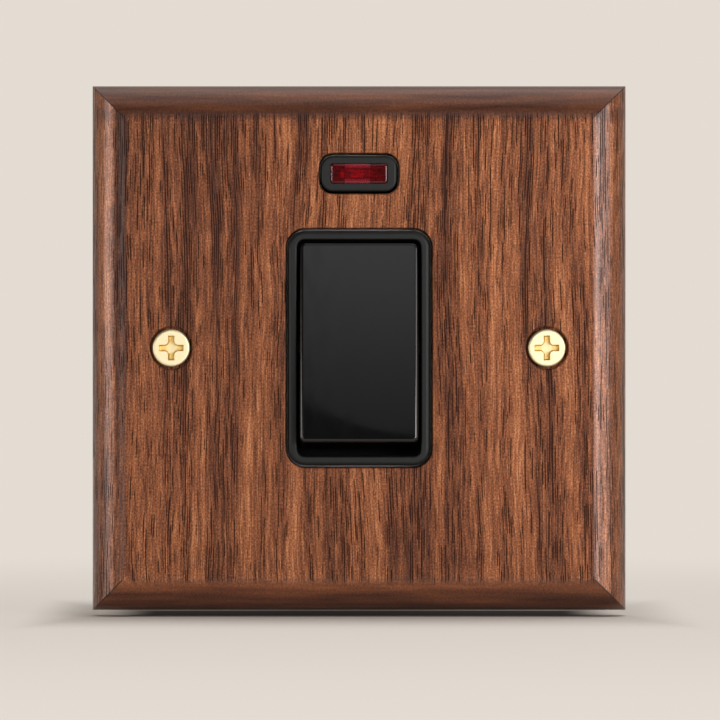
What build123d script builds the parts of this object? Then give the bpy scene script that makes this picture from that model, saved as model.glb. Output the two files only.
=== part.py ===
from build123d import *
import os
from math import cos, radians, sin

# Double-pole rocker switch with a neon indicator on a solid wood plate.
# X is to the right, +Y goes into the wall and +Z is up. The front faces -Y.
# The origin is the middle of the plate's back, on the line of the two fixing screws.

# Wood plate
plate_width = 86.0
plate_height = 84.5
plate_thickness = 9.5
edge_radius = 5.4
opening_arris = 0.25

# Fixing screws
fixing_centres = 60.3
fixing_thread_radius = 1.75
fixing_neck_radius = 1.5
fixing_hole_clearance = 0.25
fixing_head_radius = 3.0
fixing_head_gap = 0.4
fixing_head_depth = 2.0
fixing_head_proud = 0.25
fixing_head_round = 0.35
fixing_reach = 18.0
recess_length = 4.0
recess_arm = 1.05
recess_depth = 1.4
recess_taper = 9.0
recess_flare = 0.6

# Steel plate let into the back of the wood
steel_thickness = 1.2
steel_rim = 7.0
steel_gap = 0.3
steel_corner = 3.0
steel_opening_gap = 0.2
wood_screw_inset = 5.0
wood_screw_radius = 1.1
wood_screw_head_radius = 2.2
wood_screw_length = 6.5
wood_screw_clearance = 0.05

# Rocker frame and its flange
frame_width = 22.7
frame_height = 37.6
frame_corner = 2.7
frame_wall = 1.4
frame_proud = 0.6
frame_outer_round = 0.6
frame_inner_round = 0.25
frame_gap = 0.38
window_corner = 1.2
flange_thickness = 2.0
flange_corner = 2.0
flange_lip = 1.0
ear_width = 4.4
ear_thickness = 3.0
housing_screw_radius = 1.5
housing_screw_head_radius = 2.0
housing_screw_head_depth = 1.6
housing_screw_height = 18.0
machine_screw_clearance = 0.05

# Rocker, tilted about its trunnions with the top pressed in
rocker_tilt = 7.5
rocker_side_gap = 0.5
rocker_end_gap = 1.3
rocker_rise = 7.3
rocker_crown_radius = 250.0
rocker_skirt = 1.7
rocker_wall = 1.6
rocker_corner = 0.9
rocker_edge_round = 0.5
pivot_depth = 4.9
trunnion_radius = 1.5
trunnion_clearance = 0.05
trunnion_end_gap = 0.4

# Plungers in the rocker's legs
pole_offset = 4.6
leg_radius = 2.9
leg_reach = 7.0
leg_bore_top = 4.2
plunger_radius = 2.0
plunger_clearance = 0.05
plunger_length = 9.6
plunger_tip_radius = 1.5
plunger_tip_reach = 12.2
spring_wire = 0.5
spring_radius = 1.5
spring_turns = 4

# See-saw contact bridges
bridge_tilt = 8.0
bridge_width = 5.0
bridge_thickness = 1.25
bridge_head = 13.0
bridge_tail = 8.0
bridge_gap = 0.05
bridge_end_round = 1.0
groove_clearance = 0.05
contact_arm = 11.0
contact_radius = 1.8
contact_dome = 5.0
moving_contact_height = 0.8
fixed_contact_height = 1.0
contact_gap = 0.03
rivet_radius = 0.8
rivet_head_radius = 1.2
rivet_head_height = 0.35
rivet_clearance = 0.02

# Strips and cable terminals
strip_thickness = 1.0
strip_margin = 0.6
strip_clearance = 0.1
terminal_offset = 9.5
terminal_width = 10.0
terminal_length = 7.0
terminal_depth = 9.4
terminal_chamfer = 0.4
cable_radius = 2.8
clamp_screw_radius = 2.2
clamp_head_radius = 3.1
clamp_head_depth = 2.0
clamp_slot = 1.0
clamp_slot_depth = 0.9
clamp_tip_gap = 0.1

# Rear moulding
body_wall = 1.0
body_floor = 3.0
body_corner = 1.0
chamber_gap = 0.6
chamber_half_width = 3.6
chamber_corner = 0.8
bay_clearance = 0.1
bay_lip = 0.3
tower_margin = 0.4
gusset_thickness = 1.2
gusset_foot = 3.6
gusset_rise = 7.0
gusset_spacing = 9.0

# Neon indicator
neon_width = 12.1
neon_height = 5.7
neon_corner = 1.85
neon_proud = 0.3
neon_round = 0.4
neon_gap = 0.38
neon_lip = 3.3
neon_cavity_wall = 0.75
neon_flange_lip = 1.4
neon_flange_thickness = 1.6
neon_flange_gap = 0.3
lens_width = 9.2
lens_height = 3.2
lens_corner = 0.5
lens_proud = 0.2
lens_clearance = 0.05
lens_shoulder = 0.4
lens_shoulder_depth = 1.5
lens_edge_round = 0.35
lens_wall = 0.5
lens_front_wall = 1.0
lens_inner_corner = 0.3
cup_wall = 1.2
cup_rear = 13.0
cup_flange_thickness = 1.4
neon_screw_gap = 0.6
neon_screw_margin = 2.0
neon_screw_radius = 1.25
neon_screw_head_radius = 1.9
neon_screw_head_depth = 1.4
glass_wall = 0.25
glass_seal = 0.8
glass_gap = 0.15
glass_end_gap = 0.1
glass_end_round = 0.6
electrode_radius = 0.3
electrode_gap = 0.8
electrode_bend = 0.5
electrode_wall_gap = 0.2
electrode_rear = 6.5
electrode_clearance = 0.02
resistor_radius = 0.9
resistor_length = 3.4
resistor_stub = 0.7
lead_radius = 0.5
lead_clearance = 0.05
lead_turn = 1.9
lead_drop_turn = 3.0
lead_rear = 15.6
lead_inset = 0.9
lead_fall = 1.9
lead_seat = 1.0

# Earth terminal on the steel plate
earth_size = 8.0
earth_screw_gap = 0.8
earth_flange_gap = 0.3
earth_cable_radius = 2.0
earth_spigot_radius = 1.5
earth_spigot_clearance = 0.05
earth_screw_radius = 1.75
earth_head_radius = 2.8
earth_head_depth = 1.8

# Sizes and depths that follow
window_width = frame_width - 2 * frame_wall
window_height = frame_height - 2 * frame_wall
frame_face = -plate_thickness - frame_proud
pivot_y = frame_face + pivot_depth
rocker_width = window_width - 2 * rocker_side_gap
rocker_half = window_height / 2 - rocker_end_gap
steel_width = plate_width - 2 * steel_rim
steel_height = plate_height - 2 * steel_rim
bridge_y = pivot_y + plunger_tip_reach + bridge_gap + bridge_thickness
throw = contact_arm * sin(radians(bridge_tilt))
dome_reach = contact_dome - (contact_dome - moving_contact_height) * cos(radians(bridge_tilt))
fixed_contact_face = bridge_y + throw + dome_reach + contact_gap
strip_front = fixed_contact_face + fixed_contact_height
chamber_floor = strip_front + strip_thickness
chamber_half = bridge_head + chamber_gap
bay_inner = chamber_half + body_wall
terminal_inner = bay_inner + bay_clearance
terminal_outer = terminal_inner + terminal_length
terminal_mid = (terminal_inner + terminal_outer) / 2
terminal_rear = chamber_floor + terminal_depth
cable_y = chamber_floor + terminal_depth / 2
body_half_height = terminal_outer + bay_lip
body_half_width = terminal_offset + terminal_width / 2 + bay_clearance + body_wall
body_rear = chamber_floor + body_floor
tower_rear = terminal_rear + clamp_head_depth + tower_margin
ear_rear = flange_thickness + ear_thickness
flange_width = 2 * (body_half_width + ear_width)
flange_height = 2 * (body_half_height + flange_lip)
housing_screw_x = body_half_width + ear_width / 2
cavity_width = neon_width - 2 * neon_cavity_wall
cavity_height = neon_height - 2 * neon_cavity_wall
cup_width = cavity_width + 2 * cup_wall
cup_height = cavity_height + 2 * cup_wall
neon_screw_spacing = cup_width + 2 * (neon_screw_head_radius + neon_screw_gap)
neon_flange_width = neon_screw_spacing + 2 * neon_screw_margin
neon_flange_height = cup_height + 2 * neon_flange_lip
neon_z = flange_height / 2 + neon_flange_gap + neon_flange_height / 2
neon_face = -plate_thickness - neon_proud
lens_face = neon_face - lens_proud
lens_seat = neon_face + neon_lip
lens_rear = lens_seat + lens_shoulder_depth
cup_flange_rear = neon_flange_thickness + cup_flange_thickness
glass_radius = lens_height / 2 - lens_wall - glass_gap
lamp_y = lens_face + lens_front_wall + glass_gap + glass_radius
electrode_spacing = lens_width - 2 * (lens_wall + electrode_wall_gap + electrode_radius)
glass_length = electrode_spacing - 2 * (electrode_bend + glass_end_gap)
lead_x = terminal_offset - terminal_width / 2 + lead_inset
wood_screw_x = steel_width / 2 - wood_screw_inset
wood_screw_z = steel_height / 2 - wood_screw_inset
earth_x = wood_screw_head_radius + earth_screw_gap + earth_size / 2 - wood_screw_x
earth_z = -flange_height / 2 - earth_flange_gap - earth_size / 2

poles = (("line", -1), ("neutral", 1))
ends = (("load", 1), ("supply", -1))


def at_depth(y):
    """Upright plane at depth y: local x is X, local y is Z, and it faces the front."""
    return Plane.XZ.offset(-y)


def rounded(width, height, corner, y, amount, mode=Mode.ADD, centre=(0, 0)):
    """Rounded upright slab from depth y towards the front by amount."""
    with BuildSketch(at_depth(y)) as outline:
        with Locations(centre):
            RectangleRounded(width, height, corner)
    extrude(outline.sketch, amount=amount, mode=mode)


def rod(radius, y_rear, y_front, x, z, mode=Mode.ADD):
    """Round bar along Y between two depths."""
    with BuildSketch(at_depth(y_rear)) as outline:
        with Locations((x, z)):
            Circle(radius)
    extrude(outline.sketch, amount=y_rear - y_front, mode=mode)


def slotted_screw(radius, head_radius, head_depth, y_seat, y_tip, x, z):
    """Cheese-head screw driven from the rear, with a straight slot."""
    rod(radius, y_seat, y_tip, x, z)
    rod(head_radius, y_seat + head_depth, y_seat, x, z)
    with BuildSketch(at_depth(y_seat + head_depth)) as slot:
        with Locations((x, z)):
            Rectangle(2 * head_radius, clamp_slot)
    extrude(slot.sketch, amount=clamp_slot_depth, mode=Mode.SUBTRACT)


def save(part, name):
    part.label = name
    export_step(part, f"parts/{name}.step")


os.makedirs("parts", exist_ok=True)

# Wood plate: quarter-round front edge, rebate for the steel plate, openings and screw holes
wood_screw_places = GridLocations(2 * wood_screw_x, 2 * wood_screw_z, 2, 2).locations
opening_width = frame_width + 2 * frame_gap
opening_height = frame_height + 2 * frame_gap
neon_opening = (neon_width + 2 * neon_gap, neon_height + 2 * neon_gap)
fixing_hole_radius = fixing_thread_radius + fixing_hole_clearance
counterbore_radius = fixing_head_radius + fixing_head_gap

with BuildPart() as wood_plate:
    with BuildSketch(at_depth(0)):
        Rectangle(plate_width, plate_height)
    extrude(amount=plate_thickness)
    fillet(wood_plate.faces().sort_by(Axis.Y)[0].edges(), radius=edge_radius)
    rounded(steel_width + 2 * steel_gap, steel_height + 2 * steel_gap, steel_corner + steel_gap,
            0, steel_thickness, Mode.SUBTRACT)
    rounded(opening_width, opening_height, frame_corner + frame_gap, 0, plate_thickness, Mode.SUBTRACT)
    rounded(*neon_opening, neon_corner + neon_gap, 0, plate_thickness, Mode.SUBTRACT, (0, neon_z))
    with Locations(at_depth(-plate_thickness)):
        with GridLocations(fixing_centres, 0, 2, 1):
            CounterBoreHole(fixing_hole_radius, counterbore_radius, fixing_head_depth)
    front = wood_plate.faces().filter_by(Axis.Y).sort_by(Axis.Y)[0]
    fillet([edge for wire in front.inner_wires() for edge in wire.edges()], radius=opening_arris)
    for place in wood_screw_places:
        rod(wood_screw_radius + wood_screw_clearance, -steel_thickness,
            -wood_screw_length - wood_screw_clearance, place.position.X, place.position.Y, Mode.SUBTRACT)
save(wood_plate.part, "wood_plate")

# Steel back plate: windows for switch and indicator, clearance, tapped and countersunk holes
housing_screw_places = GridLocations(2 * housing_screw_x, 2 * housing_screw_height, 2, 2).locations
neon_screw_places = [Location((x, neon_z)) for x in (-neon_screw_spacing / 2, neon_screw_spacing / 2)]
window_gap = 2 * steel_opening_gap
head_drop = wood_screw_head_radius - wood_screw_radius

with BuildPart() as back_plate:
    rounded(steel_width, steel_height, steel_corner, 0, steel_thickness)
    rounded(frame_width + window_gap, frame_height + window_gap, frame_corner + steel_opening_gap,
            0, steel_thickness, Mode.SUBTRACT)
    rounded(neon_width + window_gap, neon_height + window_gap, neon_corner + steel_opening_gap,
            0, steel_thickness, Mode.SUBTRACT, (0, neon_z))
    with Locations(at_depth(0)):
        with GridLocations(fixing_centres, 0, 2, 1):
            Hole(fixing_hole_radius)
        with Locations(*housing_screw_places):
            Hole(housing_screw_radius + machine_screw_clearance)
        with Locations(*neon_screw_places):
            Hole(neon_screw_radius + machine_screw_clearance)
        with Locations((earth_x, earth_z)):
            Hole(earth_spigot_radius + earth_spigot_clearance)
        with Locations(*wood_screw_places):
            Hole(wood_screw_radius + wood_screw_clearance)
    for place in wood_screw_places:
        with BuildSketch(at_depth(0)):
            with Locations(place):
                Circle(wood_screw_head_radius + wood_screw_clearance)
        extrude(amount=head_drop, taper=45, mode=Mode.SUBTRACT)
save(back_plate.part, "back_plate")

# Four countersunk wood screws with a straight slot, driven from the rear
with BuildPart() as back_plate_screws:
    for place in wood_screw_places:
        rod(wood_screw_radius, -head_drop, -wood_screw_length, place.position.X, place.position.Y)
        with BuildSketch(at_depth(0)):
            with Locations(place):
                Circle(wood_screw_head_radius)
        extrude(amount=head_drop, taper=45)
        with BuildSketch(at_depth(0)):
            with Locations(place):
                Rectangle(2 * wood_screw_head_radius, wood_screw_radius / 2)
        extrude(amount=head_drop / 2, mode=Mode.SUBTRACT)
save(back_plate_screws.part, "back_plate_screws")

# Two fixing screws with flat round heads and a cross recess
head_face = -plate_thickness - fixing_head_proud
head_seat = fixing_head_depth - plate_thickness
fixing_places = GridLocations(fixing_centres, 0, 2, 1).locations

with BuildPart() as plate_screws:
    for place in fixing_places:
        rod(fixing_head_radius, head_seat, head_face, place.position.X, 0)
        rod(fixing_neck_radius, 0, head_seat, place.position.X, 0)
        rod(fixing_thread_radius, fixing_reach, 0, place.position.X, 0)
    rims = plate_screws.edges().filter_by(GeomType.CIRCLE).group_by(Axis.Y)[0]
    fillet(rims, radius=fixing_head_round)
    with BuildSketch(at_depth(head_face)) as recess:
        with Locations(*fixing_places):
            Rectangle(recess_length, recess_arm)
            Rectangle(recess_arm, recess_length)
        for place in fixing_places:
            fillet(recess.vertices().sort_by_distance(place.position)[:4], radius=recess_flare)
    extrude(amount=-recess_depth, taper=recess_taper, mode=Mode.SUBTRACT)
save(plate_screws.part, "plate_screws")

# Rocker frame: collar through the plate, flange behind the steel, bearings in its side walls
with BuildPart() as switch_frame:
    rounded(frame_width, frame_height, frame_corner, 0, -frame_face)
    rounded(flange_width, flange_height, flange_corner, flange_thickness, flange_thickness)
    rounded(window_width, window_height, window_corner,
            flange_thickness, flange_thickness - frame_face, Mode.SUBTRACT)
    with Locations((0, pivot_y, 0)):
        Cylinder(trunnion_radius + trunnion_clearance, frame_width + 2 * frame_gap,
                 rotation=(0, 90, 0), mode=Mode.SUBTRACT)
    face = switch_frame.faces().filter_by(Axis.Y).sort_by(Axis.Y)[0]
    fillet(face.outer_wire().edges(), radius=frame_outer_round)
    fillet(face.inner_wires()[0].edges(), radius=frame_inner_round)
    with Locations(at_depth(flange_thickness)):
        with Locations(*housing_screw_places):
            Hole(housing_screw_radius + machine_screw_clearance)
save(switch_frame.part, "switch_frame")

# Rocker: crowned shell on two trunnions, with a bored leg for each pole
front_dir = (0, -cos(radians(rocker_tilt)), sin(radians(rocker_tilt)))
rocker_plane = Plane(origin=(0, pivot_y, 0), x_dir=(1, 0, 0), z_dir=front_dir)
side_plane = Plane(origin=(0, pivot_y, 0), x_dir=rocker_plane.y_dir, z_dir=(1, 0, 0))
crown_rise = rocker_rise + rocker_crown_radius - (rocker_crown_radius**2 - rocker_half**2) ** 0.5
hollow = (rocker_width - 2 * rocker_wall, 2 * (rocker_half - rocker_wall))
leg_places = [(side * pole_offset, 0) for _, side in poles]
trunnion_end = frame_width / 2 - trunnion_end_gap

with BuildPart() as rocker:
    with BuildSketch(side_plane):
        with BuildLine():
            Polyline((-rocker_half, rocker_rise), (-rocker_half, -rocker_skirt),
                     (rocker_half, -rocker_skirt), (rocker_half, rocker_rise))
            ThreePointArc((rocker_half, rocker_rise), (0, crown_rise), (-rocker_half, rocker_rise))
        make_face()
    extrude(amount=rocker_width / 2, both=True)
    fillet(rocker.edges().filter_by(Axis((0, 0, 0), front_dir)), radius=rocker_corner)
    crown = rocker.faces().filter_by(GeomType.CYLINDER).sort_by(SortBy.AREA)[-1]
    fillet(crown.edges(), radius=rocker_edge_round)
    with BuildSketch(rocker_plane.offset(-rocker_skirt)):
        Rectangle(*hollow)
    extrude(amount=rocker_skirt + rocker_rise - rocker_wall, mode=Mode.SUBTRACT)
    with BuildSketch(rocker_plane.offset(-leg_reach)):
        with Locations(*leg_places):
            Circle(leg_radius)
    extrude(amount=leg_reach + rocker_rise - rocker_wall / 2)
    with BuildSketch(rocker_plane.offset(-leg_reach)):
        with Locations(*leg_places):
            Circle(plunger_radius + plunger_clearance)
    extrude(amount=leg_reach + leg_bore_top, mode=Mode.SUBTRACT)
    for side in (-1, 1):
        wall_plane = Plane(origin=(side * rocker_width / 2, pivot_y, 0), z_dir=(side, 0, 0))
        with BuildSketch(wall_plane):
            Circle(trunnion_radius)
        extrude(amount=trunnion_end - rocker_width / 2)
save(rocker.part, "rocker")

# Plungers: round-nosed pins that slide in the rocker's legs
plunger_back = plunger_tip_reach - plunger_length
nose_base = plunger_tip_reach - plunger_tip_radius
nose_mid = plunger_tip_radius * cos(radians(45))


def leg_plane(side):
    """Section plane through one leg: local x is up the rocker, local y points to its front."""
    return side_plane.offset(side * pole_offset)


for pole, side in poles:
    with BuildPart() as plunger:
        with BuildSketch(leg_plane(side)):
            with BuildLine():
                Polyline((0, -plunger_tip_reach), (0, -plunger_back), (plunger_radius, -plunger_back),
                         (plunger_radius, -leg_reach), (plunger_tip_radius, -nose_base))
                ThreePointArc((plunger_tip_radius, -nose_base), (nose_mid, -nose_base - nose_mid),
                              (0, -plunger_tip_reach))
            make_face()
        revolve(axis=Axis(leg_plane(side).origin, front_dir))
    save(plunger.part, f"{pole}_plunger")

# Plunger springs: open coils between the plunger and the blind end of the leg's bore
spring_height = leg_bore_top + plunger_back - spring_wire - 2 * plunger_clearance
spring_start = -plunger_back + spring_wire / 2 + plunger_clearance

for pole, side in poles:
    with BuildPart() as spring:
        with BuildLine() as coil:
            Helix(spring_height / spring_turns, spring_height, spring_radius,
                  center=leg_plane(side).from_local_coords((0, spring_start)), direction=front_dir)
        with BuildSketch(Plane(origin=coil.line @ 0, z_dir=coil.line % 0)):
            RegularPolygon(spring_wire / 2, 6)
        sweep(is_frenet=True)
    save(spring.part, f"{pole}_plunger_spring")

# Contact bridges: see-saws grooved at the back to sit on the saddles, load end forward
bridge_up = (0, -sin(radians(bridge_tilt)), cos(radians(bridge_tilt)))
bridge_front = (0, -cos(radians(bridge_tilt)), -sin(radians(bridge_tilt)))
saddle_radius = strip_thickness / 2


def bridge_plane(side):
    """Section plane of one see-saw: local x is up the bridge, local y points to its front."""
    return Plane(origin=(side * pole_offset, bridge_y, 0), x_dir=bridge_up, z_dir=(1, 0, 0))


for pole, side in poles:
    with BuildPart() as bridge:
        with BuildSketch(bridge_plane(side)):
            with Locations((-bridge_tail, 0)):
                Rectangle(bridge_tail + bridge_head, bridge_thickness, align=(Align.MIN, Align.MIN))
            Circle(saddle_radius + groove_clearance, mode=Mode.SUBTRACT)
        extrude(amount=bridge_width / 2, both=True)
        corners = bridge.edges().filter_by(Axis((0, 0, 0), bridge_front)).filter_by(
            lambda edge: edge.length > bridge_thickness - groove_clearance)
        fillet(corners, radius=bridge_end_round)
        rivet_seat = bridge_plane(side).from_local_coords((contact_arm, bridge_thickness))
        with BuildSketch(Plane(origin=rivet_seat, z_dir=bridge_front)):
            Circle(rivet_radius + rivet_clearance)
        extrude(amount=-bridge_thickness, mode=Mode.SUBTRACT)
    save(bridge.part, f"{pole}_contact_bridge")

# Moving contacts: domed rivets through the bridges, headed over at the front
rim_height = moving_contact_height - contact_dome + (contact_dome**2 - contact_radius**2) ** 0.5
half_height = moving_contact_height - contact_dome + (contact_dome**2 - contact_radius**2 / 4) ** 0.5
rivet_end = bridge_thickness + rivet_head_height
rim_reach = contact_arm + contact_radius

for pole, side in poles:
    with BuildPart() as moving_contact:
        with BuildSketch(bridge_plane(side)):
            with BuildLine():
                Polyline((contact_arm, -moving_contact_height), (contact_arm, rivet_end),
                         (contact_arm + rivet_head_radius, rivet_end),
                         (contact_arm + rivet_head_radius, bridge_thickness),
                         (contact_arm + rivet_radius, bridge_thickness), (contact_arm + rivet_radius, 0),
                         (rim_reach, 0), (rim_reach, -rim_height))
                ThreePointArc((rim_reach, -rim_height), (contact_arm + contact_radius / 2, -half_height),
                              (contact_arm, -moving_contact_height))
            make_face()
        revolve(axis=Axis(bridge_plane(side).from_local_coords((contact_arm, 0)), bridge_front))
    save(moving_contact.part, f"{pole}_moving_contact")

# Fixed contacts: flat rivets in the load strips, where the moving ones land
landing_z = contact_arm * cos(radians(bridge_tilt))

for pole, side in poles:
    with BuildPart() as fixed_contact:
        rod(contact_radius, strip_front, fixed_contact_face, side * pole_offset, landing_z)
        rod(rivet_radius, chamber_floor, strip_front, side * pole_offset, landing_z)
    save(fixed_contact.part, f"{pole}_fixed_contact")

# Strips: a foot under each terminal block and a tongue into the chamber
tongue_inner = pole_offset - bridge_width / 2
tongue_outer = pole_offset + bridge_width / 2
foot_inner = terminal_offset - terminal_width / 2
foot_outer = terminal_offset + terminal_width / 2


def strip_blank(side, way, tongue_z):
    """Flat stamped strip on the chamber floor, from its tongue's end to its foot's end."""
    points = ((tongue_inner, tongue_z), (tongue_outer, tongue_z), (tongue_outer, terminal_inner),
              (foot_outer, terminal_inner), (foot_outer, terminal_outer), (foot_inner, terminal_outer),
              (foot_inner, terminal_inner), (tongue_inner, terminal_inner))
    with BuildSketch(at_depth(chamber_floor)) as blank:
        with BuildLine():
            Polyline(*[(side * x, way * z) for x, z in points], close=True)
        make_face()
    extrude(blank.sketch, amount=strip_thickness)


for pole, side in poles:
    with BuildPart() as load_strip:
        strip_blank(side, 1, landing_z - contact_radius - strip_margin)
        rod(rivet_radius + rivet_clearance, chamber_floor, strip_front, side * pole_offset, landing_z,
            Mode.SUBTRACT)
    save(load_strip.part, f"{pole}_load_strip")

    with BuildPart() as supply_strip:
        strip_blank(side, -1, -saddle_radius)
        with BuildSketch(Plane.YZ.offset(side * pole_offset)):
            with Locations((bridge_y, 0)):
                Rectangle(strip_front - bridge_y, strip_thickness, align=(Align.MIN, Align.CENTER))
                Circle(saddle_radius)
        extrude(amount=bridge_width / 2, both=True)
    save(supply_strip.part, f"{pole}_supply_strip")

# Cable terminals: brass blocks with a cable bore, a clamp screw hole and, on the load side,
# a small seat for the indicator's lead
for pole, side in poles:
    for end, way in ends:
        with BuildPart() as terminal:
            with BuildSketch(at_depth(terminal_rear)):
                with Locations((side * terminal_offset, way * terminal_mid)):
                    Rectangle(terminal_width, terminal_length)
            extrude(amount=terminal_depth)
            chamfer(terminal.edges().filter_by(Axis.Y), length=terminal_chamfer)
            with BuildSketch(Plane.XY.offset(way * terminal_outer)):
                with Locations((side * terminal_offset, cable_y)):
                    Circle(cable_radius)
            extrude(amount=-way * terminal_length, mode=Mode.SUBTRACT)
            rod(clamp_screw_radius + machine_screw_clearance, terminal_rear, cable_y,
                side * terminal_offset, way * terminal_mid, Mode.SUBTRACT)
            if end == "load":
                with BuildSketch(Plane.XY.offset(way * terminal_outer)):
                    with Locations((side * lead_x, lead_rear)):
                        Circle(lead_radius + lead_clearance)
                extrude(amount=-way * lead_seat, mode=Mode.SUBTRACT)
        save(terminal.part, f"{pole}_{end}_terminal")

terminal_places = GridLocations(2 * terminal_offset, 2 * terminal_mid, 2, 2).locations
with BuildPart() as terminal_screws:
    for place in terminal_places:
        slotted_screw(clamp_screw_radius, clamp_head_radius, clamp_head_depth, terminal_rear,
                      cable_y + cable_radius + clamp_tip_gap, place.position.X, place.position.Y)
save(terminal_screws.part, "terminal_screws")

# Rear moulding: eared base with gussets, two contact chambers open to the front, and a tower
# at each end with two terminal bays open to the rear and to the cable entry
tower_length = body_half_height - chamber_half
tower_mid = body_half_height - tower_length / 2
bay_width = terminal_width + 2 * bay_clearance
bay_length = body_half_height - bay_inner
bay_mid = body_half_height - bay_length / 2
core_width = 2 * (foot_inner - bay_clearance - body_wall)
slot_inner = chamber_half - strip_clearance

with BuildPart() as mechanism_body:
    rounded(flange_width, flange_height, flange_corner, ear_rear, ear_thickness)
    rounded(2 * body_half_width, 2 * body_half_height, body_corner, body_rear, body_rear - ear_rear)
    for way in (-1, 1):
        rounded(2 * body_half_width, tower_length, body_corner, tower_rear, tower_rear - body_rear,
                centre=(0, way * tower_mid))
        rounded(core_width, tower_length - 2 * body_wall, body_corner, tower_rear,
                tower_rear - body_rear, Mode.SUBTRACT, (0, way * tower_mid))
        for side in (-1, 1):
            with BuildSketch(at_depth(tower_rear)):
                with Locations((side * terminal_offset, way * bay_mid)):
                    Rectangle(bay_width, bay_length)
            extrude(amount=tower_rear - strip_front, mode=Mode.SUBTRACT)
            with BuildSketch(at_depth(chamber_floor)):
                with Locations((side * pole_offset, way * slot_inner)):
                    Rectangle(bridge_width + 2 * strip_clearance,
                              terminal_inner - slot_inner + strip_clearance,
                              align=(Align.CENTER, Align.MIN if way > 0 else Align.MAX))
            extrude(amount=strip_thickness, mode=Mode.SUBTRACT)
    for side in (-1, 1):
        rounded(2 * chamber_half_width, 2 * chamber_half, chamber_corner, flange_thickness,
                flange_thickness - chamber_floor, Mode.SUBTRACT, (side * pole_offset, 0))
        for z in (-gusset_spacing, 0, gusset_spacing):
            with BuildSketch(Plane.XY.offset(z)):
                with BuildLine():
                    Polyline((side * body_half_width, ear_rear),
                             (side * (body_half_width + gusset_foot), ear_rear),
                             (side * body_half_width, ear_rear + gusset_rise), close=True)
                make_face()
            extrude(amount=gusset_thickness / 2, both=True)
    with Locations(at_depth(ear_rear)):
        with Locations(*housing_screw_places):
            Hole(housing_screw_radius + machine_screw_clearance, depth=ear_thickness)
save(mechanism_body.part, "mechanism_body")

# Four housing screws through ears and flange into the tapped steel plate
with BuildPart() as housing_screws:
    for place in housing_screw_places:
        slotted_screw(housing_screw_radius, housing_screw_head_radius, housing_screw_head_depth,
                      ear_rear, -steel_thickness, place.position.X, place.position.Y)
save(housing_screws.part, "housing_screws")

# Indicator bezel: surround through the plate, with a lens window and a flange behind the steel
with BuildPart() as neon_bezel:
    rounded(neon_width, neon_height, neon_corner, 0, -neon_face, centre=(0, neon_z))
    rounded(neon_flange_width, neon_flange_height, flange_corner, neon_flange_thickness,
            neon_flange_thickness, centre=(0, neon_z))
    face = neon_bezel.faces().filter_by(Axis.Y).sort_by(Axis.Y)[0]
    fillet(face.outer_wire().edges(), radius=neon_round)
    rounded(cavity_width, cavity_height, lens_corner + lens_shoulder, neon_flange_thickness,
            neon_flange_thickness - lens_seat, Mode.SUBTRACT, (0, neon_z))
    rounded(lens_width + 2 * lens_clearance, lens_height + 2 * lens_clearance, lens_corner,
            lens_seat, neon_lip, Mode.SUBTRACT, (0, neon_z))
    with Locations(at_depth(neon_flange_thickness)):
        with Locations(*neon_screw_places):
            Hole(neon_screw_radius + machine_screw_clearance)
save(neon_bezel.part, "neon_bezel")

# Lens: hollow rounded window with a shoulder that seats behind the bezel's lip
with BuildPart() as neon_lens:
    rounded(lens_width, lens_height, lens_corner, lens_seat, lens_seat - lens_face, centre=(0, neon_z))
    rounded(lens_width + 2 * lens_shoulder, lens_height + 2 * lens_shoulder,
            lens_corner + lens_shoulder, lens_rear, lens_shoulder_depth, centre=(0, neon_z))
    face = neon_lens.faces().filter_by(Axis.Y).sort_by(Axis.Y)[0]
    fillet(face.edges(), radius=lens_edge_round)
    rounded(lens_width - 2 * lens_wall, lens_height - 2 * lens_wall, lens_inner_corner,
            lens_rear, lens_rear - lens_face - lens_front_wall, Mode.SUBTRACT, (0, neon_z))
save(neon_lens.part, "neon_lens")

# Lamp cup behind the bezel, clamped by the same two screws
lead_places = [Location((x, neon_z)) for x in (-electrode_spacing / 2, electrode_spacing / 2)]

with BuildPart() as neon_housing:
    rounded(neon_flange_width, neon_flange_height, flange_corner, cup_flange_rear,
            cup_flange_thickness, centre=(0, neon_z))
    rounded(cup_width, cup_height, body_corner, cup_rear, cup_rear - cup_flange_rear, centre=(0, neon_z))
    rounded(cavity_width, cavity_height, lens_corner, cup_rear - cup_wall,
            cup_rear - cup_wall - neon_flange_thickness, Mode.SUBTRACT, (0, neon_z))
    with Locations(at_depth(cup_rear)):
        with Locations(*neon_screw_places):
            Hole(neon_screw_radius + machine_screw_clearance)
        with Locations(*lead_places):
            Hole(lead_radius + lead_clearance, depth=cup_wall)
save(neon_housing.part, "neon_housing")

with BuildPart() as neon_screws:
    for place in neon_screw_places:
        slotted_screw(neon_screw_radius, neon_screw_head_radius, neon_screw_head_depth,
                      cup_flange_rear, -steel_thickness, place.position.X, place.position.Y)
save(neon_screws.part, "neon_screws")

# Lamp: sealed glass tube lying across the lens's hollow, on a wire electrode from each end
with BuildPart() as neon_glass:
    with Locations((0, lamp_y, neon_z)):
        Cylinder(glass_radius, glass_length, rotation=(0, 90, 0))
        fillet(neon_glass.edges().filter_by(GeomType.CIRCLE), radius=glass_end_round)
        Cylinder(glass_radius - glass_wall, glass_length - 2 * glass_seal, rotation=(0, 90, 0),
                 mode=Mode.SUBTRACT)
        Cylinder(electrode_radius + electrode_clearance, glass_length, rotation=(0, 90, 0),
                 mode=Mode.SUBTRACT)
save(neon_glass.part, "neon_glass")

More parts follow.
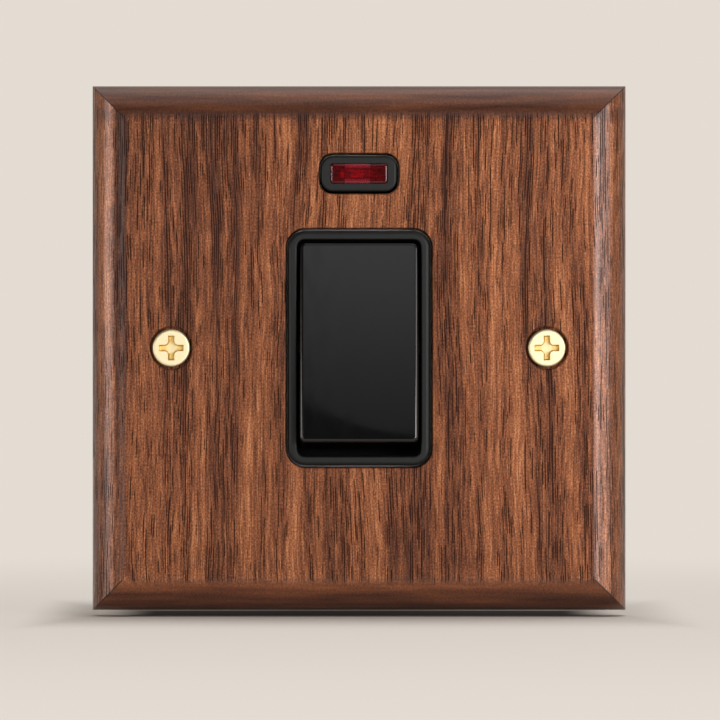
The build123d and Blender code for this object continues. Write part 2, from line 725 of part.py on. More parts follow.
with BuildPart() as neon_electrodes:
    for _, side in poles:
        with BuildLine() as wire:
            FilletPolyline((side * electrode_gap / 2, lamp_y, neon_z),
                           (side * electrode_spacing / 2, lamp_y, neon_z),
                           (side * electrode_spacing / 2, electrode_rear, neon_z), radius=electrode_bend)
        with BuildSketch(Plane(origin=wire.line @ 0, z_dir=wire.line % 0)):
            Circle(electrode_radius)
        sweep()
save(neon_electrodes.part, "neon_electrodes")

# Series resistor on the line electrode
resistor_rear = electrode_rear + 2 * resistor_stub + resistor_length

with BuildPart() as neon_resistor:
    rod(electrode_radius, resistor_rear, electrode_rear, -electrode_spacing / 2, neon_z)
    rod(resistor_radius, resistor_rear - resistor_stub, electrode_rear + resistor_stub,
        -electrode_spacing / 2, neon_z)
save(neon_resistor.part, "neon_resistor")

# Indicator leads: out of the cup, across and down into the load terminals
lead_starts = {"line": resistor_rear, "neutral": electrode_rear}

for pole, side in poles:
    with BuildPart() as lead:
        with BuildLine() as route:
            FilletPolyline((side * electrode_spacing / 2, lead_starts[pole], neon_z),
                           (side * electrode_spacing / 2, lead_rear, neon_z),
                           (side * lead_x, lead_rear, terminal_outer + lead_fall),
                           (side * lead_x, lead_rear, terminal_outer - lead_seat),
                           radius=(lead_turn, lead_drop_turn))
        with BuildSketch(Plane(origin=route.line @ 0, z_dir=route.line % 0)):
            Circle(lead_radius)
        sweep()
    save(lead.part, f"neon_{pole}_lead")

# Earth terminal: block spigoted into the steel plate, cable bore downwards, screw from the rear
earth_mid = earth_size / 2

with BuildPart() as earth_terminal:
    with BuildSketch(at_depth(earth_size)):
        with Locations((earth_x, earth_z)):
            Rectangle(earth_size, earth_size)
    extrude(amount=earth_size)
    chamfer(earth_terminal.edges().filter_by(Axis.Y), length=terminal_chamfer)
    rod(earth_spigot_radius, 0, -steel_thickness, earth_x, earth_z)
    with BuildSketch(Plane.XY.offset(earth_z - earth_size / 2)):
        with Locations((earth_x, earth_mid)):
            Circle(earth_cable_radius)
    extrude(amount=earth_size, mode=Mode.SUBTRACT)
    rod(earth_screw_radius + machine_screw_clearance, earth_size, earth_mid, earth_x, earth_z, Mode.SUBTRACT)
save(earth_terminal.part, "earth_terminal")

with BuildPart() as earth_screw:
    slotted_screw(earth_screw_radius, earth_head_radius, earth_head_depth, earth_size,
                  earth_mid + earth_cable_radius + clamp_tip_gap, earth_x, earth_z)
save(earth_screw.part, "earth_screw")
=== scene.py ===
from math import cos, pi, radians, sin

import bmesh
import bpy
from mathutils import Matrix, Vector


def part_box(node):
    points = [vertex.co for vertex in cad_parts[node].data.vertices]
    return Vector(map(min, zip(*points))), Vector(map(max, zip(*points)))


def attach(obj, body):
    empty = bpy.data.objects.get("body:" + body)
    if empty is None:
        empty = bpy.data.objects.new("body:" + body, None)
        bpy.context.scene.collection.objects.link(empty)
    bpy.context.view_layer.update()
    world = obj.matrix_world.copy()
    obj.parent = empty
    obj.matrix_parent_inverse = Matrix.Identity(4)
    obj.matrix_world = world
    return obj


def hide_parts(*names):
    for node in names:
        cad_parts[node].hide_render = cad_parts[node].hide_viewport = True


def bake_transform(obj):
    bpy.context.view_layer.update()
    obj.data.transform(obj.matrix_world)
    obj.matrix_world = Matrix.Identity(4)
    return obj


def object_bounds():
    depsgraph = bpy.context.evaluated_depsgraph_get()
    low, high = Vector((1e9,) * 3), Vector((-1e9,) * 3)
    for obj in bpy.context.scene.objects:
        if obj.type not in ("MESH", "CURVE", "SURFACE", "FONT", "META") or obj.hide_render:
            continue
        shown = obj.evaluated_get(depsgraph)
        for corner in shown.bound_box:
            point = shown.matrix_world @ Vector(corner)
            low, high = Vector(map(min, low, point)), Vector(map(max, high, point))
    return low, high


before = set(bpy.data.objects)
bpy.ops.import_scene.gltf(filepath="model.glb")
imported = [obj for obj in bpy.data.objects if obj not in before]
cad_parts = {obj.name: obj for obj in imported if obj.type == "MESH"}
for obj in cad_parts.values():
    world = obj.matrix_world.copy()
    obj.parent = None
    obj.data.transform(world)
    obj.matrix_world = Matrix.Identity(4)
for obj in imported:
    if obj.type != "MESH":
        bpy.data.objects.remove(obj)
cad_low, cad_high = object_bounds()
mm = 0.001

# Wood plate: one board of dark straight-grained hardwood, its front edge worked to a quarter round
# that meets in a mitre at each corner. It is stained and sprayed with a satin lacquer, thickest on
# the moulding, and its two sawn ends are left matt. Shade is painted into its colour along the foot
# of the moulding and across the ends, and its upper part is painted a little lighter.


class Wire:
    """A socket in a material. Arithmetic on it adds Math nodes, and node() adds any other node."""

    def __init__(self, socket):
        self.socket = socket

    def node(self, kind, settings, inputs, output=0):
        tree = self.socket.id_data
        made = tree.nodes.new("ShaderNode" + kind)
        for name, value in settings.items():
            if name == "stops":
                made.color_ramp.elements.remove(made.color_ramp.elements[1])
                made.color_ramp.elements[0].position, made.color_ramp.elements[0].color = value[0]
                for place, colour in value[1:]:
                    made.color_ramp.elements.new(place).color = colour
            else:
                setattr(made, name, value)
        for name, value in inputs.items():
            if isinstance(value, Wire):
                tree.links.new(value.socket, made.inputs[name])
            else:
                made.inputs[name].default_value = value
        return Wire(made.outputs[output])

    def __add__(self, other):
        return self.node("Math", {"operation": "ADD"}, {0: self, 1: other})

    def __sub__(self, other):
        return self.node("Math", {"operation": "SUBTRACT"}, {0: self, 1: other})

    def __rsub__(self, other):
        return self.node("Math", {"operation": "SUBTRACT"}, {0: other, 1: self})

    def __mul__(self, other):
        return self.node("Math", {"operation": "MULTIPLY"}, {0: self, 1: other})

    __radd__ = __add__
    __rmul__ = __mul__

    def __abs__(self):
        return self.node("Math", {"operation": "ABSOLUTE"}, {0: self})

    def __lt__(self, other):
        return self.node("Math", {"operation": "LESS_THAN"}, {0: self, 1: other})


def paint(red, green, blue):
    """A colour as a screen shows it, in levels of 255, as Blender's linear values."""
    levels = [level / 255 for level in (red, green, blue)]
    return (*[c / 12.92 if c < 0.04 else ((c + 0.055) / 1.055) ** 2.4 for c in levels], 1.0)


def finish(name, fixed):
    """A material with its shader's fixed values, and a wire that carries the object coordinates."""
    made = bpy.data.materials.new(name)
    made.use_nodes = True
    for socket, value in fixed.items():
        made.node_tree.nodes["Principled BSDF"].inputs[socket].default_value = value
    return made, Wire(made.node_tree.nodes.new("ShaderNodeTexCoord").outputs["Object"])


def feed(material, wires):
    """Links each wire to the shader's socket of that name."""
    shader = material.node_tree.nodes["Principled BSDF"]
    for socket, wire in wires.items():
        material.node_tree.links.new(wire.socket, shader.inputs[socket])


def dress(material, *nodes):
    """Gives CAD nodes their material."""
    for node in nodes:
        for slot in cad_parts[node].material_slots:
            slot.material = material


def axis(place, name):
    """One coordinate of a place: X, Y or Z."""
    return place.node("SeparateXYZ", {}, {0: place}, name)


def noise(place, waves, detail=2.0, offset=(0.0, 0.0, 0.0)):
    """Soft noise with its own number of waves per millimetre along X, Y and Z."""
    drawn = place.node("Mapping", {}, {"Vector": place, "Location": offset,
                                       "Scale": [count / mm for count in waves]})
    return drawn.node("TexNoise", {}, {"Vector": drawn, "Scale": 1.0, "Detail": detail, "Roughness": 0.55})


def ease(value, start, end, low=0.0, high=1.0):
    """Smooth step of a value from low at start to high at end."""
    return value.node("MapRange", {"interpolation_type": "SMOOTHSTEP"},
                      {"Value": value, "From Min": start, "From Max": end, "To Min": low, "To Max": high})


def strip(value, middle, reach, core):
    """1 where a value is within core of the middle, easing to 0 at reach."""
    return ease(abs(value - middle), reach, core)


def blend(share, first, second):
    """Mix of two colours."""
    return share.node("Mix", {"data_type": "RGBA"}, {0: share, 6: first, 7: second}, 2)


def dent(height, strength, depth):
    """Bump from a height that is 1 at depth."""
    return height.node("Bump", {}, {"Height": height, "Strength": strength, "Distance": depth})


def grain(place, across, along, detail, offset=0.0):
    """Noise drawn out along the board's fibres, which run up and down."""
    return noise(place, (across, across, along), detail, (offset, offset, offset))


edge_round = 5.4 * mm
mitre_line = 0.16 * mm
sawn_skin = 0.03 * mm
side_foot_inset, top_foot_inset = 4.9 * mm, 4.7 * mm
top_light_start, top_light_full = 12.0 * mm, 34.0 * mm
end_outer, end_inner = 2.4 * mm, 4.2 * mm
grain_wander = 4.0 * mm
zone_offset, band_offset, streak_offset = 292.2, 337.7, 5.3
pore_lean = 0.83
pore_edge, pore_core = 0.28, 0.17
pore_scatter = 17.31

walnut, place = finish("walnut", {"Specular IOR Level": 0.05, "Coat Roughness": 0.3})
across, upward = axis(place, "X"), axis(place, "Z")
left_half = across < 0.0
plate_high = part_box("wood_plate")[1]
side_margin = plate_high.x - abs(across)
end_margin = plate_high.z - abs(upward)
margin = side_margin.node("Math", {"operation": "MINIMUM"}, {0: side_margin, 1: end_margin})
at_end = (end_margin < side_margin) * ease(end_margin, edge_round, edge_round - 1.4 * mm)
moulding = ease(margin, edge_round + 0.4 * mm, edge_round - 0.6 * mm)
mitre = (abs(end_margin - side_margin) < mitre_line) * (end_margin < edge_round - 0.4 * mm)
sawn_end = end_margin < sawn_skin

wander = grain(place, 0.05, 0.02, 2.0) - 0.5
shift = wander.node("CombineXYZ", {}, {"X": wander * grain_wander})
lines = shift.node("VectorMath", {"operation": "ADD"}, {0: place, 1: shift})
zones = grain(lines, 0.09, 0.006, 1.0, zone_offset) - 0.5
bands = grain(lines, 0.4, 0.014, 2.0, band_offset) - 0.5
streaks = grain(lines, 1.4, 0.04, 1.0, streak_offset) - 0.5
fibres = grain(lines, 5.0, 0.24, 1.0) - 0.5
specks = noise(place, (4.0, 4.0, 3.0), 1.0) - 0.5
figure = zones * 0.6 + bands * 0.75 + streaks * 0.5 + fibres * 0.95 + specks * 0.95
# Painted shade along the foot of the moulding, on the top and the sides, and most on the left side.
side_foot = strip(side_margin, side_foot_inset, reach=1.5 * mm, core=0.5 * mm) * (side_margin < end_margin)
top_foot = strip(upward, plate_high.z - top_foot_inset, reach=1.4 * mm, core=0.4 * mm)
painted_shade_and_stain = side_foot * (0.1 + left_half * 0.16) + top_foot * 0.16
# The upper part of the board is painted a little lighter, a painted light from above.
tone = 0.44 + ease(upward, top_light_start, top_light_full, 0.0, 0.06) + figure - painted_shade_and_stain

level_lines = noise(place, (0.06, 0.8, 0.8), 3.0) - 0.5
# The ends take a darker tone of their own with painted shade in it: darkest along the inner part of the top
# moulding and towards the edge of the bottom one.
outer_tone = ease(upward, -plate_high.z, plate_high.z, 0.28, 0.32)
inner_tone = ease(upward, -plate_high.z, plate_high.z, 0.52, 0.24)
end_tone_and_shade = outer_tone + (inner_tone - outer_tone) * ease(end_margin, end_outer, end_inner)
tone = tone + at_end * (end_tone_and_shade + level_lines * 0.8 + specks * 0.5 - tone)
timber = tone.node("ValToRGB", {"stops": [
    (0.06, paint(66, 33, 21)), (0.28, paint(99, 55, 34)), (0.50, paint(131, 76, 46)),
    (0.72, paint(166, 102, 65)), (0.94, paint(200, 137, 95))]}, {0: tone})
heart = ease(zones * 0.6 + bands, 0.0, -0.3) * (1.0 - at_end)
timber = blend(heart * 0.45, timber, paint(80, 48, 37))

lean = pore_lean - left_half * (2 * pore_lean)
pore_run = axis(lines, "X") + axis(lines, "Y") * lean


def pore_lines(spacing, waves, offset):
    """Thin dark dashes, one to a strip of this spacing and closer together in the dark bands."""
    strip_place = pore_run * (1.0 / spacing) + offset
    number = strip_place.node("Math", {"operation": "FLOOR"}, {0: strip_place})
    stray = number.node("TexWhiteNoise", {"noise_dimensions": "1D"}, {"W": number})
    aside = abs(strip_place - number - 0.3 - stray * 0.4)
    spot = number.node("CombineXYZ", {}, {"X": number * pore_scatter, "Z": upward * (waves / mm)})
    dashes = spot.node("TexNoise", {}, {"Vector": spot, "Scale": 1.0, "Detail": 1.0})
    drawn = ease(dashes - bands * 0.75 - zones * 0.2, 0.52, 0.58)
    return ease(aside, pore_edge, pore_core) * drawn * (1.0 - at_end)


pores = pore_lines(0.36 * mm, 0.16, 0.0)
fine_pores = pore_lines(0.27 * mm, 0.22, 0.37)
timber = blend(pores * 0.9, timber, paint(32, 12, 5))
timber = blend(fine_pores * 0.6, timber, paint(42, 17, 8))
timber = blend(mitre * 0.8, timber, paint(26, 14, 10))
lacquered = (1.0 - pores * 0.85) * (1.0 - sawn_end)
feed(walnut, {"Base Color": timber, "Roughness": 0.4 + fibres * 0.15 + pores * 0.3 + sawn_end * 0.45,
              "Metallic": lacquered * 0.44, "Coat Weight": lacquered * (0.3 + moulding * 0.65),
              "Normal": dent(fibres * 0.4 + specks * 0.3 - pores, 0.3, 0.04 * mm)})
dress(walnut, "wood_plate")

# Steel back plate and its four wood screws: pressed mild steel with bright zinc plating, let into
# the back of the board and holding the switch and the indicator from behind.
zinc, place = finish("zinc_plating", {"Metallic": 1.0})
clouds = noise(place, (0.12, 0.12, 0.12), 3.0)
rolled = noise(place, (0.15, 2.0, 5.0), 2.0)
feed(zinc, {"Base Color": blend(ease(clouds, 0.3, 0.7), paint(196, 199, 202), paint(207, 206, 202)),
            "Roughness": 0.24 + clouds * 0.14 + rolled * 0.2, "Normal": dent(rolled, 0.15, 0.02 * mm)})
dress(zinc, "back_plate", "back_plate_screws")

# Rocker frame and indicator surround: satin black thermoplastic, moulded with a fine spark-eroded
# texture and slightly rounded edges, clipped through the board from behind.
frame_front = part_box("switch_frame")[0].y
well_start, well_full = frame_front + 0.9 * mm, frame_front + 1.5 * mm

satin, place = finish("satin_black", {"Specular IOR Level": 0.27})
texture = noise(place, (9.0, 9.0, 9.0), 2.0)
flow = noise(place, (0.08, 0.08, 0.08), 2.0)
# Behind the lip the frame is painted near-black and matt, a painted shade in its well.
well_shade = ease(axis(place, "Y"), well_start, well_full)
skin = blend(flow, paint(22, 23, 23), paint(27, 28, 28))
feed(satin, {"Base Color": blend(well_shade, skin, paint(7, 7, 7)),
             "Roughness": 0.34 + texture * 0.14 + well_shade * 0.45, "Normal": dent(texture, 0.1, 0.01 * mm)})
dress(satin, "switch_frame", "neon_bezel")

# Rocker: gloss black thermoplastic from a polished mould, with faint sink and rub marks. It turns
# on two trunnions in the frame.
trunnion_length = 1.45 * mm
rocker_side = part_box("rocker")[1].x - trunnion_length
wear_start, wear_full = rocker_side - 0.7 * mm, rocker_side - 0.3 * mm

gloss, place = finish("gloss_black", {"Specular IOR Level": 0.5})
sideways = abs(axis(place, "X"))
trunnions = 1.0 - (sideways < rocker_side)
edge_wear = ease(sideways, wear_start, wear_full)
rub = noise(place, (0.6, 0.6, 0.2), 3.0)
ripple = noise(place, (0.05, 0.05, 0.05), 1.0)
feed(gloss, {"Base Color": blend(ripple, paint(9, 9, 10), paint(13, 13, 14)),
             "Roughness": ease(rub, 0.3, 0.8, 0.03, 0.07) + edge_wear * 0.14 + trunnions * 0.4,
             "Normal": dent(ripple, 0.05, 0.05 * mm)})
dress(gloss, "rocker")

# Plungers and their springs: white nylon pins that slide in the rocker's legs, pushed out by coils
# of drawn steel wire.
nylon, place = finish("white_nylon", {"Roughness": 0.45})
cloud = noise(place, (0.3, 0.3, 0.3), 2.0)
feed(nylon, {"Base Color": blend(cloud, paint(228, 225, 214), paint(212, 207, 194)),
             "Normal": dent(noise(place, (4.0, 4.0, 4.0)), 0.08, 0.02 * mm)})
dress(nylon, "line_plunger", "neutral_plunger")

drawn_steel, place = finish("spring_wire", {"Metallic": 1.0})
scale = noise(place, (2.0, 2.0, 2.0), 2.0)
feed(drawn_steel, {"Base Color": blend(scale, paint(150, 151, 153), paint(190, 190, 188)),
                   "Roughness": 0.25 + scale * 0.2})

weld = 0.001 * mm


def merged_copy(node):
    """A copy of a CAD node's mesh, with its faces joined where they meet."""
    bm = bmesh.new()
    bm.from_mesh(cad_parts[node].data)
    bmesh.ops.remove_doubles(bm, verts=bm.verts, dist=weld)
    return bm


def settle(bm, name, material):
    """Ends a bmesh as an object at the origin, shaded by its own shape, with one material."""
    mesh = bpy.data.meshes.new(name)
    bm.to_mesh(mesh)
    bm.free()
    if "custom_normal" in mesh.attributes:
        mesh.attributes.remove(mesh.attributes["custom_normal"])
    mesh.materials.append(material)
    made = bpy.data.objects.new(name, mesh)
    bpy.context.scene.collection.objects.link(made)
    return made


for pole in ("line", "neutral"):
    bm = merged_copy(f"{pole}_plunger_spring")
    coil = settle(bm, f"{pole}_coil", drawn_steel)
    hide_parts(f"{pole}_plunger_spring")
    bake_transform(coil)

# Contact bridges and strips: stamped from hard copper alloy, with rolling lines along their length
# and a warm tarnish. Their contacts are silver rivets.
copper, place = finish("stamped_copper", {"Metallic": 1.0})
rolled = noise(place, (6.0, 6.0, 0.3), 2.0)
tarnish = noise(place, (0.25, 0.25, 0.25), 3.0)
feed(copper, {"Base Color": blend(ease(tarnish, 0.35, 0.7), paint(214, 158, 112), paint(170, 112, 78)),
              "Roughness": 0.24 + rolled * 0.2 + tarnish * 0.1, "Normal": dent(rolled, 0.12, 0.01 * mm)})
silver, place = finish("contact_silver", {"Metallic": 1.0})
wear = noise(place, (1.5, 1.5, 1.5), 3.0)
feed(silver, {"Base Color": blend(ease(wear, 0.4, 0.7), paint(226, 225, 219), paint(176, 171, 160)),
              "Roughness": 0.2 + wear * 0.3})
for pole in ("line", "neutral"):
    dress(copper, f"{pole}_contact_bridge", f"{pole}_load_strip", f"{pole}_supply_strip")
    dress(silver, f"{pole}_moving_contact", f"{pole}_fixed_contact")

# Terminals: sawn and drilled brass blocks with a slotted clamp screw of plated steel in each, four
# for the cables and one on the steel plate for earth.
machined, place = finish("machined_brass", {"Metallic": 1.0})
milled = noise(place, (0.4, 5.0, 5.0), 2.0)
painted_shade_and_stain = noise(place, (0.3, 0.3, 0.3), 3.0)
feed(machined, {"Base Color": blend(ease(painted_shade_and_stain, 0.35, 0.7), paint(222, 190, 112), paint(186, 148, 80)),
                "Roughness": 0.22 + milled * 0.22, "Normal": dent(milled, 0.1, 0.015 * mm)})
dress(machined, "earth_terminal")
for pole in ("line", "neutral"):
    dress(machined, f"{pole}_load_terminal", f"{pole}_supply_terminal")
dress(zinc, "terminal_screws", "earth_screw")

# Rear mouldings: matt black thermoset, pressed hot, with pale flow marks. Four plated screws clamp
# the switch's moulding, and two the lamp cup.
pit_start, pit_full = 6.0 * mm, 3.0 * mm

thermoset, place = finish("thermoset_black", {"Specular IOR Level": 0.45})
flow = noise(place, (0.2, 0.2, 0.06), 4.0)
specks = noise(place, (3.0, 3.0, 3.0), 1.0)
# Their front, towards the board, is painted near-black and matt, a painted shade.
pit_shade = ease(axis(place, "Y"), pit_start, pit_full)
skin = blend(ease(flow, 0.3, 0.8), paint(26, 26, 28), paint(42, 41, 41))
feed(thermoset, {"Base Color": blend(pit_shade, skin, paint(5, 5, 5)),
                 "Roughness": 0.38 + specks * 0.25 + pit_shade * 0.5, "Normal": dent(specks, 0.12, 0.03 * mm)})
dress(thermoset, "mechanism_body", "neon_housing")
dress(zinc, "housing_screws", "neon_screws")

# Indicator: clear red lens over a small neon lamp, with two nickel electrodes, a lacquered resistor
# on the line side and a sleeved lead down to each load terminal.
lens_low, lens_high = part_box("neon_lens")
lens_middle = (lens_low.z + lens_high.z) / 2
rail_start, rail_full = 0.85 * mm, 1.05 * mm

red, place = finish("red_lens", {"Transmission Weight": 0.82, "IOR": 1.49})
haze = noise(place, (0.5, 0.8, 2.4), 2.0)
# Over the lamp the lens is painted a paler pink, brightest in two rails along its top and bottom, a painted
# glow of the lamp behind it.
glow_window = strip(axis(place, "X"), middle=-0.25 * mm, reach=2.1 * mm, core=1.95 * mm)
glow_rails = ease(abs(axis(place, "Z") - lens_middle), rail_start, rail_full)
tint = blend(ease(haze, 0.35, 0.65), paint(178, 18, 32), paint(116, 6, 18))
feed(red, {"Base Color": blend(glow_window * (0.14 + glow_rails * 0.8), tint, paint(255, 66, 92)),
           "Roughness": 0.04 + haze * 0.08})
dress(red, "neon_lens")

glass, place = finish("lamp_glass", {"Transmission Weight": 0.6, "IOR": 1.47, "Emission Strength": 0.95})
along = axis(place, "X")
bloom = noise(place, (0.4, 1.6, 2.4), 2.0)
belt = strip(axis(place, "Z"), lens_middle, reach=0.8 * mm, core=0.4 * mm)
# Where lit is high the glass is painted paler and glows: at its core as the lamp's glow, and at its two
# seals as painted highlights.
core = strip(along, middle=-0.3 * mm, reach=1.2 * mm, core=0.95 * mm) * ease(bloom, 0.3, 0.7, 0.5, 1.0)
left_seal_highlight = strip(along, middle=-2.85 * mm, reach=0.6 * mm, core=0.25 * mm)
right_seal_highlight = strip(along, middle=2.3 * mm, reach=0.85 * mm, core=0.5 * mm)
lit = (core * 0.35 + left_seal_highlight * 0.55 + right_seal_highlight * 0.12) * belt
feed(glass, {"Base Color": blend(lit, paint(120, 112, 106), paint(250, 246, 238)),
             "Roughness": 0.2 + bloom * 0.2,
             "Emission Color": blend(lit, paint(40, 5, 6), paint(255, 84, 84))})
dress(glass, "neon_glass")

nickel, place = finish("nickel_wire", {"Metallic": 1.0})
drawn = noise(place, (5.0, 0.4, 5.0), 2.0)
feed(nickel, {"Base Color": blend(drawn, paint(176, 172, 164), paint(204, 200, 190)),
              "Roughness": 0.25 + drawn * 0.2})
dress(nickel, "neon_electrodes")

lacquer, place = finish("resistor_lacquer", {"Roughness": 0.35})
mottle = noise(place, (1.0, 1.0, 1.0), 2.0)
feed(lacquer, {"Base Color": blend(mottle, paint(206, 184, 142), paint(188, 164, 122)),
               "Normal": dent(mottle, 0.1, 0.02 * mm)})
dress(lacquer, "neon_resistor")

for pole, light, dark in (("line", (124, 72, 44), (96, 54, 32)), ("neutral", (46, 92, 168), (30, 66, 130))):
    sleeve, place = finish(f"{pole}_sleeve", {"Specular IOR Level": 0.5})
    rub = noise(place, (1.2, 1.2, 1.2), 2.0)
    feed(sleeve, {"Base Color": blend(rub, paint(*dark), paint(*light)), "Roughness": 0.35 + rub * 0.2,
                  "Normal": dent(rub, 0.08, 0.02 * mm)})
    dress(sleeve, f"neon_{pole}_lead")

# Fixing screws: M3.5 brass, the last pieces to go in. Their heads are turned flat and polished, the
# cross recess is stamped and painted a darker, yellower brass with a painted highlight at its middle,
# and the thread behind the neck is rolled and darker in its grooves.
head_radius = 3.0 * mm
neck_end = -0.05 * mm
thread_start = -0.1 * mm
thread_pitch = 0.6 * mm
root_radius, crest_radius = 1.4 * mm, 1.75 * mm
root_flat, crest_flat = 0.25 * thread_pitch, 0.125 * thread_pitch
flank = (thread_pitch - root_flat - crest_flat) / 2
tip_taper = 0.8
tip_skin = 0.02 * mm
hub_radius, hub_core = 1.1 * mm, 0.5 * mm
steps_per_turn = 28
spare_turns = 3
cut_slack = 1e-8
flat_facing = 0.999
sharp_angle = radians(30)
screw_low, screw_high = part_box("plate_screws")
recess_start, recess_full = screw_low.y + 0.1 * mm, screw_low.y + 0.6 * mm
screw_centre = screw_high.x - head_radius
turns = round((screw_high.y - thread_start) / thread_pitch) + spare_turns

polished, place = finish("polished_brass", {"Metallic": 1.0})
scratch = noise(place, (3.0, 3.0, 3.0), 3.0)
inward = axis(place, "Y")
in_head = inward < 0.0
sunk = ease(inward, recess_start, recess_full)
bright = blend(scratch, paint(250, 238, 202), paint(244, 227, 180))
beside = abs(axis(place, "X")) - screw_centre
above = axis(place, "Z")
radius_squared = beside * beside + above * above
# The middle of the recess is painted back to bright brass, a painted highlight.
hub_highlight = ease(radius_squared, hub_radius ** 2, hub_core ** 2) * in_head
groove = ease(radius_squared, crest_radius ** 2, root_radius ** 2) * (1.0 - in_head)
groove = groove * (inward < screw_high.y - tip_skin)
brass = blend(sunk * (1.0 - hub_highlight * 0.8), bright, paint(240, 212, 138))
feed(polished, {"Base Color": blend(groove * 0.8, brass, paint(112, 78, 34)),
                "Roughness": 0.42 + scratch * 0.14 - groove * 0.1, "Normal": dent(scratch, 0.1, 0.02 * mm)})


def cut_square(bm, depth, way):
    """Cuts a rod square at a depth, drops what lies beyond that way, and returns the new end's corners."""
    cut = bmesh.ops.bisect_plane(bm, geom=bm.verts[:] + bm.edges[:] + bm.faces[:], dist=cut_slack,
                                 plane_co=(0, depth, 0), plane_no=(0, way, 0), clear_outer=True)
    rim = [part for part in cut["geom_cut"] if isinstance(part, bmesh.types.BMEdge)]
    bmesh.ops.edgeloop_fill(bm, edges=rim)
    return list({vert for edge in rim for vert in edge.verts})


rod = bmesh.new()
corners, below = [], thread_start - thread_pitch
for radius, run in ((root_radius, root_flat), (root_radius, flank), (crest_radius, crest_flat),
                    (crest_radius, flank), (root_radius, 0.0)):
    corners.append(rod.verts.new((radius, below, 0)))
    below += run
outline = [rod.edges.new(pair) for pair in zip(corners, corners[1:])]
bmesh.ops.spin(rod, geom=corners + outline, cent=(0, 0, 0), axis=(0, 1, 0), angle=2 * pi * turns,
               dvec=(0, thread_pitch / steps_per_turn, 0), steps=steps_per_turn * turns)
bmesh.ops.remove_doubles(rod, verts=rod.verts, dist=weld)
cut_square(rod, thread_start, -1)
tip = cut_square(rod, screw_high.y, 1)
bmesh.ops.scale(rod, verts=tip, vec=(tip_taper, 1.0, tip_taper))
bmesh.ops.recalc_face_normals(rod, faces=rod.faces)

bm = merged_copy("plate_screws")
cut_square(bm, neck_end, 1)
shank = bpy.data.meshes.new("shank")
for move in (-screw_centre, 2 * screw_centre):
    bmesh.ops.translate(rod, verts=rod.verts, vec=(move, 0, 0))
    rod.to_mesh(shank)
    bm.from_mesh(shank)
rod.free()
bpy.data.meshes.remove(shank)
bm.normal_update()
for face in bm.faces:
    face.smooth = abs(face.normal.y) < flat_facing
for edge in bm.edges:
    edge.smooth = edge.calc_face_angle() < sharp_angle
screws = settle(bm, "fixing_screws", polished)
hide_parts("plate_screws")
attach(screws, "plate")

# Stage: a pale seamless surface that the plate stands on, painted dark right under it as a painted
# contact shadow, which runs out into the pale room behind. The room in front of the plate is dim, so
# that gloss and polish keep their dark sides.
floor_gap = 1.0 * mm
floor_z = cad_low.z - floor_gap
floor_radius, floor_corners = 3.0, 96
footprint_middle, footprint_half = 7.0 * mm, 17.0 * mm
foot_shade = 10.0 * mm
side_shade, front_shade = 12.0 * mm, 45.0 * mm
mirror_start, mirror_full = 8.0 * mm, 40.0 * mm
near_share = 0.68
shade_end, open_ground = 0.06, 0.32


def surface(material, wire):
    """Makes a wire the material's surface."""
    tree = material.node_tree
    tree.links.new(wire.socket, tree.nodes["Material Output"].inputs["Surface"])


pale = paint(228, 220, 211)
paper, place = finish("backdrop_paper", {"Roughness": 0.9, "Specular IOR Level": 0.1})
seen = place.node("LightPath", {}, {}, "Is Camera Ray")
glossy = place.node("LightPath", {}, {}, "Is Glossy Ray")
away = place.node("VectorMath", {"operation": "LENGTH"}, {0: place}, "Value")
beside = abs(axis(place, "X")) - cad_high.x
before = abs(axis(place, "Y") - footprint_middle) - footprint_half
clear = beside.node("Math", {"operation": "MAXIMUM"}, {0: beside, 1: before})
# Under the plate's footprint the paper is painted dark, a painted contact shadow.
feed(paper, {"Base Color": blend(ease(clear, 0.0, -foot_shade), paint(250, 243, 235), paint(52, 46, 40))})
near = beside.node("Math", {"operation": "MAXIMUM"},
                   {0: ease(beside, 0.0, side_shade), 1: ease(before, 0.0, front_shade)})
share = near * near_share + ease(away, shade_end, open_ground, 0.0, 1.0 - near_share)
far_share = seen * share + glossy * ease(clear, mirror_start, mirror_full, 0.0, 0.9)
near_paper = Wire(paper.node_tree.nodes["Principled BSDF"].outputs[0])
far_paper = place.node("Emission", {}, {"Color": pale})
surface(paper, far_paper.node("MixShader", {}, {0: far_share, 1: near_paper, 2: far_paper}))

bm = bmesh.new()
bmesh.ops.create_circle(bm, cap_ends=True, segments=floor_corners, radius=floor_radius)
bmesh.ops.translate(bm, verts=bm.verts, vec=(0, 0, floor_z))
settle(bm, "floor", paper)

room = bpy.data.worlds.new("room")
bpy.context.scene.world = room
room.use_nodes = True
heaven = Wire(room.node_tree.nodes.new("ShaderNodeTexCoord").outputs["Generated"])
seen = heaven.node("LightPath", {}, {}, "Is Camera Ray")
glossy = heaven.node("LightPath", {}, {}, "Is Glossy Ray")
through = heaven.node("LightPath", {}, {}, "Is Transmission Ray")
behind = ease(axis(heaven, "Y"), -0.1, 0.4, 0.04, 0.5) + glossy * 0.05
level = behind + (seen + through) * (1.0 - behind)
backing = room.node_tree.nodes["Background"]
backing.inputs["Color"].default_value = pale
room.node_tree.links.new(level.socket, backing.inputs["Strength"])

# Lamps: a key softbox to the right of the camera with a wider, weaker wing beside it, a strip and a
# low fill on the left that draw the mouldings, and a weak softbox overhead.


def softbox(name, azimuth, elevation, distance, width, height, radiance):
    """Area lamp aimed at the plate. Azimuth is to the right of the camera, both angles in degrees."""
    turn, rise = radians(azimuth), radians(elevation)
    way = Vector((sin(turn) * cos(rise), -cos(turn) * cos(rise), sin(rise)))
    lamp = bpy.data.lights.new(name, "AREA")
    lamp.shape = "RECTANGLE"
    lamp.size, lamp.size_y = width, height
    lamp.energy = radiance * pi * width * height
    holder = bpy.data.objects.new(name, lamp)
    facing = way.to_track_quat("Z", "Y").to_matrix().to_4x4()
    holder.matrix_world = Matrix.Translation(way * distance) @ facing
    holder.visible_camera = False
    bpy.context.scene.collection.objects.link(holder)


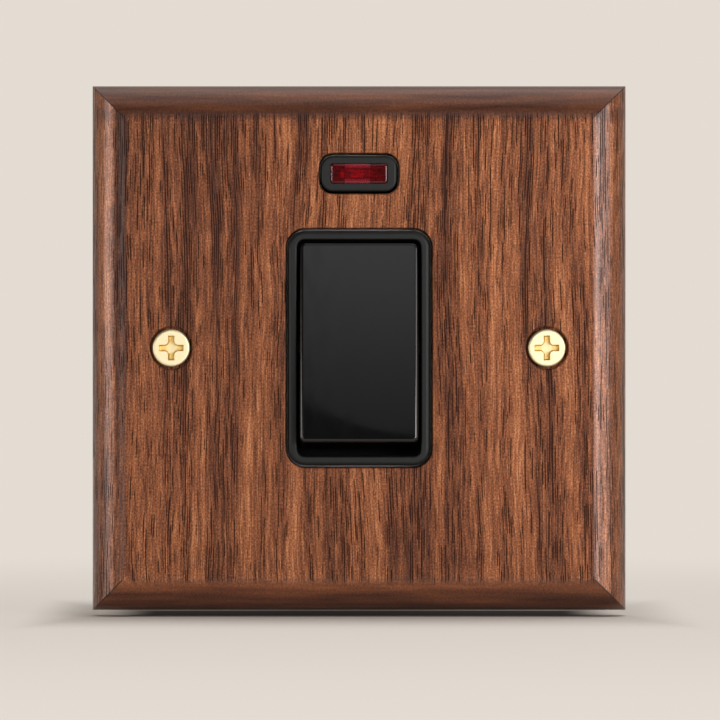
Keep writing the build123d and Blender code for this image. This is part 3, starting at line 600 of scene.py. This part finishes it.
softbox("key_softbox", azimuth=22, elevation=1, distance=0.75, width=0.205, height=0.218, radiance=13.6)
softbox("key_wing", azimuth=50, elevation=8, distance=0.8, width=0.44, height=0.4, radiance=4.5)
softbox("left_strip", azimuth=-65, elevation=-1, distance=0.6, width=0.32, height=0.2, radiance=5.0)
softbox("left_fill", azimuth=-14, elevation=3, distance=0.9, width=0.3, height=0.12, radiance=4.0)
softbox("overhead_softbox", azimuth=90, elevation=72, distance=0.9, width=1.3, height=1.0, radiance=0.85)

# Reflector card: hangs beyond the camera, brighter towards its top. The rocker's gloss mirrors it, and
# its rounded lower corner, drawn out upwards, leaves the rocker's own lower corner dark.
card_low, card_high = 0.147, 0.75
card_width = 0.2
card_aside, card_distance = 0.074, 1.2
corner_round, corner_steps = 0.05, 16
drawn_height = 0.26
glow_start = card_low - 0.1

glow, place = finish("card_glow", {})
height = axis(place, "Z")
surface(glow, height.node("Emission", {}, {"Color": (1.0, 1.0, 1.0, 1.0),
                                           "Strength": ease(height, glow_start, card_high, 0.25, 1.15)}))

bm = bmesh.new()
bmesh.ops.create_grid(bm, x_segments=1, y_segments=1, size=0.5)
bmesh.ops.scale(bm, verts=bm.verts, vec=(card_width, drawn_height, 1.0))
corner = min(bm.verts, key=lambda vert: vert.co.x + vert.co.y)
bmesh.ops.bevel(bm, geom=[corner], affect="VERTICES", offset=corner_round, segments=corner_steps,
                profile=0.5, material=-1)
bmesh.ops.scale(bm, verts=bm.verts, vec=(1.0, (card_high - card_low) / drawn_height, 1.0))
bmesh.ops.rotate(bm, verts=bm.verts, matrix=Matrix.Rotation(radians(90), 3, "X"))
bmesh.ops.translate(bm, verts=bm.verts, vec=(card_aside, -card_distance, (card_low + card_high) / 2))
card = settle(bm, "reflector_card", glow)
card.visible_camera = False

# Camera: straight on, level with a point just under the fixing screws. Its lens is worked out from
# the size that one pixel covers at the plate's face.
image_width = 720
pixel = 0.1605 * mm
view_distance = 0.95
view_aside, view_rise = 0.15 * mm, -1.93 * mm
sight = bpy.data.cameras.new("camera")
sight.sensor_width = 36.0
sight.lens = sight.sensor_width * view_distance / (image_width * pixel)
camera = bpy.data.objects.new("camera", sight)
camera.location = (view_aside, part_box("wood_plate")[0].y - view_distance, view_rise)
camera.rotation_euler = (radians(90), 0, 0)
bpy.context.scene.collection.objects.link(camera)
bpy.context.scene.camera = camera
bpy.context.scene.view_settings.view_transform = "Standard"
